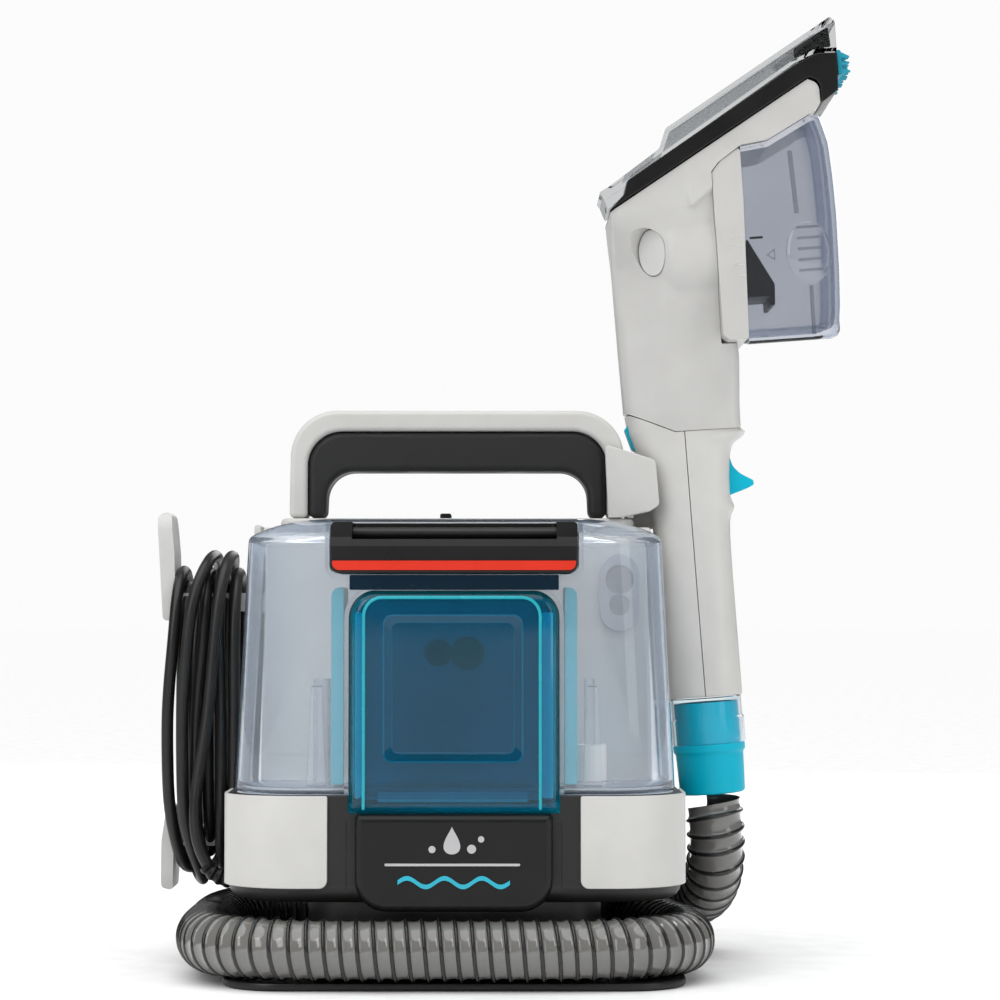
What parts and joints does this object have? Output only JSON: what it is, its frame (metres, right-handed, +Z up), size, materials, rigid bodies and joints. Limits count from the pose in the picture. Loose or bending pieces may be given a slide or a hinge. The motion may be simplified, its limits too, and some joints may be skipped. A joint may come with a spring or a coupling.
{
  "type": "carpet cleaner",
  "caption": "Portable carpet and upholstery cleaner: tanks on a base, spray and suction hand wand, corrugated hose wrapped round the foot and a wound power cord.",
  "frame": {"origin": "centre of the base underside, on the floor, midway between the side walls of the body", "axes": "+X towards the wand side, -Y towards the front with the solution tank, +Z up"},
  "size_m": [0.4023, 0.2722, 0.5427],
  "materials": {
    "white_plastic": "satin, very fine grain",
    "black_plastic": "fine matt grain",
    "gloss_black": "smooth satin black",
    "grip_rubber": "soft matt over-mould",
    "foot_rubber": "matt",
    "smoky_clear": "moulded smoky blue clear plastic",
    "deep_blue_clear": "moulded deep blue clear plastic",
    "cup_clear": "moulded grey violet clear plastic",
    "clear_plastic": "clear plastic",
    "teal_plastic": "satin teal",
    "red_stripe": "satin red",
    "silver_line": "foil",
    "hose_grey": "translucent grey wall with a black helix",
    "cord_black": "soft sheen",
    "machine_metal": "machined",
    "machine_plastic": "matt",
    "pump_tube_clear": "silicone",
    "board_green": "lacquered",
    "float_white": "foam plastic"
  },
  "bodies": {
    "base": {"base_foot": "black_plastic", "rubber_foot_front_left": "foot_rubber", "rubber_foot_front_right": "foot_rubber", "rubber_foot_back_left": "foot_rubber", "rubber_foot_back_right": "foot_rubber", "lower_housing": "black_plastic", "tank_deck": "black_plastic", "side_panel_left": "white_plastic", "side_panel_right": "white_plastic", "badge_panel": "gloss_black", "badge_line": "silver_line", "rear_housing": "white_plastic", "top_cover": "white_plastic", "handle_shell": "white_plastic", "handle_grip": "grip_rubber", "wand_holster": "white_plastic", "cord_hook_upper": "white_plastic", "cord_hook_lower": "white_plastic", "cord_gland": "cord_black", "cord_lead": "cord_black", "cord_hank": "cord_black", "cord_plug": "cord_black", "hose_wrap": "hose_grey", "hose_riser": "hose_grey", "hose_socket": "black_plastic", "suction_motor": "machine_metal", "fan_housing": "machine_plastic", "water_pump": "machine_plastic", "pump_tube": "pump_tube_clear", "control_board": "board_green", "power_switch": "machine_plastic"},
    "fan_rotor": {"impeller": "machine_metal"},
    "power_button": {"power_button": "machine_plastic"},
    "tank": {"recovery_tank": "smoky_clear", "tank_lid": "smoky_clear", "inlet_pipe": "smoky_clear", "float_guide": "smoky_clear", "latch_pin": "machine_metal"},
    "float": {"tank_float": "float_white"},
    "solution_tank": {"solution_tank": "deep_blue_clear", "solution_cap": "gloss_black"},
    "latch": {"tank_latch": "gloss_black", "latch_stripe": "red_stripe", "tank_grip_bar": "black_plastic"},
    "wand": {"wand_shell_back": "white_plastic", "wand_shell_front": "white_plastic", "wand_collar": "clear_plastic", "trigger_pin": "machine_metal"},
    "hose_cuff": {"hose_cuff": "teal_plastic"},
    "trigger": {"trigger": "teal_plastic"},
    "release_button": {"head_release_button": "teal_plastic"},
    "head": {"head_housing": "white_plastic", "pivot_cap": "white_plastic", "head_band": "gloss_black", "nozzle_window": "clear_plastic", "spray_nozzle": "machine_plastic", "brush_strip": "teal_plastic", "cup_collar": "white_plastic", "inlet_flap": "gloss_black"},
    "cup": {"debris_cup": "cup_clear"}
  },
  "joints": [
    {"name": "fan_spin", "type": "hinge", "parent": "base", "child": "fan_rotor", "pos_m": [-0.02, 0.049, 0.201], "axis": [0, 0, 1], "continuous": true},
    {"name": "power_press", "type": "slide", "parent": "base", "child": "power_button", "axis": [0, 0, -1], "range_m": [0, 0.0018], "stiffness_N_per_m": 400, "springref_m": -0.0005},
    {"name": "tank_lift", "type": "slide", "parent": "base", "child": "tank", "axis": [0, 0, 1], "range_m": [0, 0.15]},
    {"name": "float_rise", "type": "slide", "parent": "tank", "child": "float", "axis": [0, 0, 1], "range_m": [0, 0.03]},
    {"name": "solution_tank_pull", "type": "slide", "parent": "tank", "child": "solution_tank", "axis": [0, -1, 0], "range_m": [0, 0.075]},
    {"name": "latch_tilt", "type": "hinge", "parent": "tank", "child": "latch", "pos_m": [0, -0.066, 0.245], "axis": [-1, 0, 0], "range_deg": [0, 15], "stiffness_Nm_per_rad": 0.4, "springref_deg": -8.59},
    {"name": "wand_lift", "type": "slide", "parent": "base", "child": "wand", "axis": [-0.0767, 0, 0.9971], "range_m": [0, 0.03], "deforming": ["hose_riser"]},
    {"name": "cuff_swivel", "type": "hinge", "parent": "wand", "child": "hose_cuff", "pos_m": [0.14737, 0.028, 0.11015], "axis": [-0.0767, 0, 0.9971], "continuous": true},
    {"name": "trigger_pull", "type": "hinge", "parent": "wand", "child": "trigger", "pos_m": [0.1507, 0.028, 0.28843], "axis": [0, 1, 0], "range_deg": [0, 8], "stiffness_Nm_per_rad": 0.3, "springref_deg": -5.73},
    {"name": "head_release_press", "type": "slide", "parent": "wand", "child": "release_button", "axis": [0.9971, 0, 0.0767], "range_m": [0, 0.0025], "stiffness_N_per_m": 400, "springref_m": -0.0005},
    {"name": "head_off", "type": "slide", "parent": "wand", "child": "head", "axis": [-0.0767, 0, 0.9971], "range_m": [0, 0.06]},
    {"name": "cup_off", "type": "slide", "parent": "head", "child": "cup", "axis": [0.7593, 0, -0.6508], "range_m": [0, 0.085]}
  ]
}
